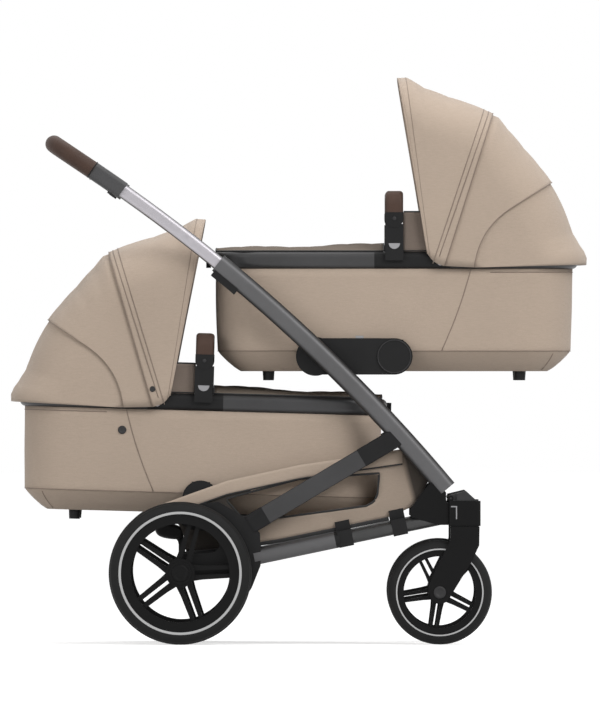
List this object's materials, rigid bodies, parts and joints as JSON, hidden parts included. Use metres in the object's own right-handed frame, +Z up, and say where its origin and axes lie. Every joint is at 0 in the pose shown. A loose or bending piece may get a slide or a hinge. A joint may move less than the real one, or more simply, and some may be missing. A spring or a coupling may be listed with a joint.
{
  "type": "twin pram",
  "caption": "Tandem pram with an arched push-bar frame, two hooded carrycots set one above the other, a low basket, swivelling front casters and a telescoping handle.",
  "frame": {"origin": "on the ground, midway along the pram's whole length and width", "axes": "+X the way the pram rolls forward, +Y to its left, +Z up"},
  "size_m": [1.1744, 0.597, 1.1529],
  "materials": {
    "tan_fabric": "matt melange weave",
    "lining_fabric": "matt weave",
    "grey_paint": "satin grey paint",
    "silver_tube": "satin anodised",
    "dark_metal": "satin dark paint",
    "black_plastic": "matt",
    "dark_plastic": "matt",
    "button_plastic": "matt light grey",
    "brown_leather": "brown stitched leather-look cover",
    "tyre": "matt",
    "rim_plastic": "satin"
  },
  "bodies": {
    "chassis": {"main_tubes": "grey_paint", "rear_legs": "grey_paint", "frame_joints": "black_plastic", "lower_rails": "dark_metal", "lower_sleeves": "grey_paint", "front_carrier": "black_plastic", "rear_axle": "dark_metal", "rear_hubs": "black_plastic", "basket": "tan_fabric", "upper_adapters": "black_plastic"},
    "handle": {"handle_tubes": "silver_tube", "handle_caps": "black_plastic", "handle_grip": "brown_leather"},
    "handle_trigger_pair": {"handle_triggers": "dark_plastic"},
    "fold_slider_pair": {"fold_sliders": "black_plastic"},
    "pedal": {"brake_pedal": "black_plastic"},
    "rear_wheel_left": {"rear_tyre_left": "tyre", "rear_rim_left": "rim_plastic"},
    "caster_left": {"front_fork_left": "black_plastic"},
    "front_wheel_left": {"front_tyre_left": "tyre", "front_rim_left": "rim_plastic"},
    "lock_left": {"swivel_lock_left": "dark_plastic"},
    "tab_left": {"upper_tab_left": "button_plastic"},
    "rear_wheel_right": {"rear_tyre_right": "tyre", "rear_rim_right": "rim_plastic"},
    "caster_right": {"front_fork_right": "black_plastic"},
    "front_wheel_right": {"front_tyre_right": "tyre", "front_rim_right": "rim_plastic"},
    "lock_right": {"swivel_lock_right": "dark_plastic"},
    "tab_right": {"upper_tab_right": "button_plastic"},
    "upper_cot": {"upper_shell": "tan_fabric", "upper_fittings": "black_plastic", "upper_rim_tube": "grey_paint", "upper_side_frames": "black_plastic", "upper_apron": "tan_fabric", "upper_mattress": "lining_fabric", "upper_hood_back": "tan_fabric"},
    "upper_carry_handle": {"upper_carry_grip": "brown_leather", "upper_carry_knuckles": "black_plastic"},
    "upper_hood_middle": {"upper_hood_mid": "tan_fabric", "upper_hood_mid_bow": "silver_tube"},
    "upper_hood_visor": {"upper_hood_front": "tan_fabric", "upper_hood_front_bow": "silver_tube"},
    "upper_button_left": {"upper_button_left": "button_plastic"},
    "upper_button_right": {"upper_button_right": "button_plastic"},
    "lower_cot": {"lower_shell": "tan_fabric", "lower_fittings": "black_plastic", "lower_rim_tube": "grey_paint", "lower_side_frames": "black_plastic", "lower_apron": "tan_fabric", "lower_mattress": "lining_fabric", "lower_hood_back": "tan_fabric"},
    "lower_carry_handle": {"lower_carry_grip": "brown_leather", "lower_carry_knuckles": "black_plastic"},
    "lower_hood_middle": {"lower_hood_mid": "tan_fabric", "lower_hood_mid_bow": "silver_tube"},
    "lower_hood_visor": {"lower_hood_front": "tan_fabric", "lower_hood_front_bow": "silver_tube"},
    "lower_button_left": {"lower_button_left": "button_plastic"},
    "lower_button_right": {"lower_button_right": "button_plastic"}
  },
  "joints": [
    {"name": "handle_length", "type": "hinge", "parent": "chassis", "child": "handle", "pos_m": [-2.33318, 0, -1.88477], "axis": [0, 1, 0], "range_deg": [0, 3]},
    {"name": "handle_release", "type": "slide", "parent": "handle", "child": "handle_trigger_pair", "axis": [-0.8205, 0, 0.5717], "range_m": [0, 0.004], "stiffness_N_per_m": 300, "springref_m": -0.003},
    {"name": "fold_catch", "type": "slide", "parent": "chassis", "child": "fold_slider_pair", "axis": [0.7685, 0, -0.6398], "range_m": [0, 0.012], "stiffness_N_per_m": 200, "springref_m": -0.008},
    {"name": "brake_press", "type": "hinge", "parent": "chassis", "child": "pedal", "pos_m": [-0.2427, 0, 0.145], "axis": [0, -1, 0], "range_deg": [0, 18]},
    {"name": "rear_wheel_spin_left", "type": "hinge", "parent": "chassis", "child": "rear_wheel_left", "pos_m": [-0.2427, 0.2775, 0.145], "axis": [0, 1, 0], "continuous": true},
    {"name": "caster_swivel_left", "type": "hinge", "parent": "chassis", "child": "caster_left", "pos_m": [0.3337, 0.236, 0.2404], "axis": [0, 0, 1], "continuous": true},
    {"name": "front_wheel_spin_left", "type": "hinge", "parent": "caster_left", "child": "front_wheel_left", "pos_m": [0.2834, 0.236, 0.106], "axis": [0, 1, 0], "continuous": true},
    {"name": "swivel_lock_tip_left", "type": "hinge", "parent": "chassis", "child": "lock_left", "pos_m": [0.30575, 0.236, 0.2966], "axis": [0, -1, 0], "range_deg": [0, 25]},
    {"name": "release_tab_left", "type": "slide", "parent": "chassis", "child": "tab_left", "axis": [0, 0, -1], "range_m": [0, 0.003], "stiffness_N_per_m": 200, "springref_m": -0.003},
    {"name": "rear_wheel_spin_right", "type": "hinge", "parent": "chassis", "child": "rear_wheel_right", "pos_m": [-0.2427, -0.2775, 0.145], "axis": [0, 1, 0], "continuous": true},
    {"name": "caster_swivel_right", "type": "hinge", "parent": "chassis", "child": "caster_right", "pos_m": [0.3337, -0.236, 0.2404], "axis": [0, 0, 1], "continuous": true},
    {"name": "front_wheel_spin_right", "type": "hinge", "parent": "caster_right", "child": "front_wheel_right", "pos_m": [0.2834, -0.236, 0.106], "axis": [0, 1, 0], "continuous": true},
    {"name": "swivel_lock_tip_right", "type": "hinge", "parent": "chassis", "child": "lock_right", "pos_m": [0.30575, -0.236, 0.2966], "axis": [0, -1, 0], "range_deg": [0, 25]},
    {"name": "release_tab_right", "type": "slide", "parent": "chassis", "child": "tab_right", "axis": [0, 0, -1], "range_m": [0, 0.003], "stiffness_N_per_m": 200, "springref_m": -0.003},
    {"name": "upper_cot_lift", "type": "slide", "parent": "chassis", "child": "upper_cot", "axis": [0, 0, 1], "range_m": [0, 0.15]},
    {"name": "upper_carry_swing", "type": "hinge", "parent": "upper_cot", "child": "upper_carry_handle", "pos_m": [0.19149, 0, 0.86426], "axis": [0, -1, 0], "range_deg": [-28, 45]},
    {"name": "upper_hood_middle_fold", "type": "hinge", "parent": "upper_cot", "child": "upper_hood_middle", "pos_m": [0.28479, 0, 0.77486], "axis": [0, 1, 0], "range_deg": [0, 17]},
    {"name": "upper_hood_visor_fold", "type": "hinge", "parent": "upper_hood_middle", "child": "upper_hood_visor", "pos_m": [0.28479, 0, 0.77486], "axis": [0, 1, 0], "range_deg": [0, 24]},
    {"name": "upper_button_press_left", "type": "slide", "parent": "upper_cot", "child": "upper_button_left", "axis": [0, -1, 0], "range_m": [0, 0.003], "stiffness_N_per_m": 300, "springref_m": -0.003},
    {"name": "upper_button_press_right", "type": "slide", "parent": "upper_cot", "child": "upper_button_right", "axis": [0, 1, 0], "range_m": [0, 0.003], "stiffness_N_per_m": 300, "springref_m": -0.003},
    {"name": "lower_cot_lift", "type": "slide", "parent": "chassis", "child": "lower_cot", "axis": [0.0279, 0, 0.9996], "range_m": [0, 0.016]},
    {"name": "lower_carry_swing", "type": "hinge", "parent": "lower_cot", "child": "lower_carry_handle", "pos_m": [-0.19388, 0, 0.57559], "axis": [0, 1, 0], "range_deg": [-28, 0]},
    {"name": "lower_hood_middle_fold", "type": "hinge", "parent": "lower_cot", "child": "lower_hood_middle", "pos_m": [-0.28964, 0, 0.48883], "axis": [0, -1, 0], "range_deg": [0, 17]},
    {"name": "lower_hood_visor_fold", "type": "hinge", "parent": "lower_hood_middle", "child": "lower_hood_visor", "pos_m": [-0.28964, 0, 0.48883], "axis": [0, -1, 0], "range_deg": [0, 24]},
    {"name": "lower_button_press_left", "type": "slide", "parent": "lower_cot", "child": "lower_button_left", "axis": [0, -1, 0], "range_m": [0, 0.003], "stiffness_N_per_m": 300, "springref_m": -0.003},
    {"name": "lower_button_press_right", "type": "slide", "parent": "lower_cot", "child": "lower_button_right", "axis": [0, 1, 0], "range_m": [0, 0.003], "stiffness_N_per_m": 300, "springref_m": -0.003}
  ]
}
